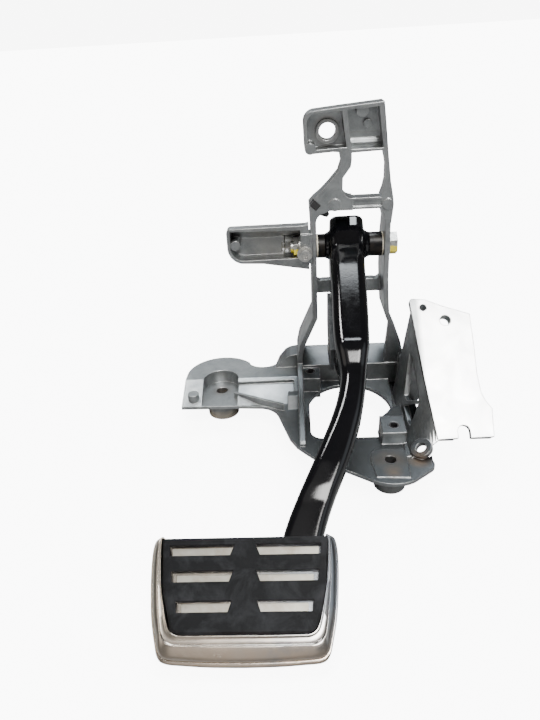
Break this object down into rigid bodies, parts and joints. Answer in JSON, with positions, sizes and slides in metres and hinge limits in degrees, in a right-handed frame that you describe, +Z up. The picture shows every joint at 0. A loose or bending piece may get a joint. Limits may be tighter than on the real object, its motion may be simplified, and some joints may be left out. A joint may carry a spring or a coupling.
{
  "type": "brake pedal",
  "caption": "Automatic-car brake pedal: cast aluminium bracket with side tray and accelerator plate, black pressed arm swinging on a cross bolt, and a wide stainless-faced rubber pad.",
  "frame": {"origin": "middle of the right mounting boss's bore, on the face that stands on the firewall", "axes": "+X to the right of the car's driver, +Y away from the driver, +Z up from the firewall face of the mounting bosses, towards the top lug"},
  "size_m": [0.2604, 0.3169, 0.2721],
  "materials": {
    "cast_aluminium": "as cast, matt, lightly stained",
    "steel": "zinc plated",
    "rusty_steel": "stained",
    "gloss_black": "gloss black paint",
    "stainless": "brushed stainless",
    "black_rubber": "worn, dusty",
    "black_plastic": "matt",
    "bush_plastic": "matt",
    "marked_nut": "zinc plated with a yellow paint mark"
  },
  "bodies": {
    "bracket": {"bracket": "cast_aluminium", "lug_sleeve": "rusty_steel", "stud_clip_left": "black_plastic", "stud_clip_right": "black_plastic", "stop_buffer": "black_rubber", "pivot_bolt": "steel", "pivot_nut": "marked_nut", "pivot_washer": "steel", "pivot_sleeve": "steel", "clamp_screw": "steel", "clamp_washer": "steel"},
    "pedal": {"bush_left": "bush_plastic", "bush_right": "bush_plastic", "pedal_arm": "gloss_black", "arm_back": "gloss_black", "pivot_tube": "gloss_black", "pushrod_plate": "steel", "pushrod_pin": "steel", "pad_plate": "gloss_black", "pad_boot": "black_rubber", "pad_cover": "stainless", "pad_rubber": "black_rubber"}
  },
  "joints": [
    {"name": "pedal_pivot", "type": "hinge", "parent": "bracket", "child": "pedal", "pos_m": [-0.022, 0.127, 0.157], "axis": [1, 0, 0], "range_deg": [-26, 0]}
  ]
}
